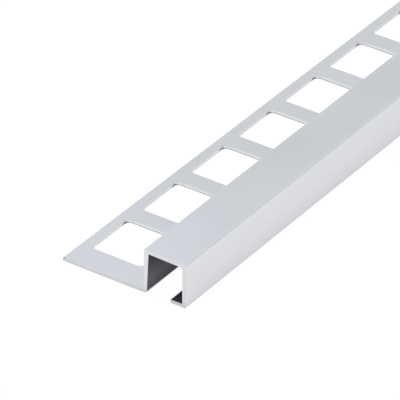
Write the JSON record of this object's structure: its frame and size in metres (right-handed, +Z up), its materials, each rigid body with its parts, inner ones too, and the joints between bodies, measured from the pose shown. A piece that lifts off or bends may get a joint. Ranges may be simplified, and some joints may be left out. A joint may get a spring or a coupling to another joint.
{
  "type": "tile edge trim",
  "caption": "Straight square-edged tile trim: a hollow square head with a turned-in lip, and a flat leg with a row of punched square holes.",
  "frame": {"origin": "middle of the bounding box's underside, at floor level", "axes": "+X along the stock, from the end with the short plain margin; +Y from the visible face towards the tiles; +Z up, out of the floor or wall that the leg is bedded on"},
  "size_m": [1, 0.0364, 0.0125],
  "materials": {
    "anodised_aluminium": "smooth semi-matt silver anodised, bare punched edges"
  },
  "bodies": {
    "root": {"trim_profile": "anodised_aluminium"}
  },
  "joints": []
}
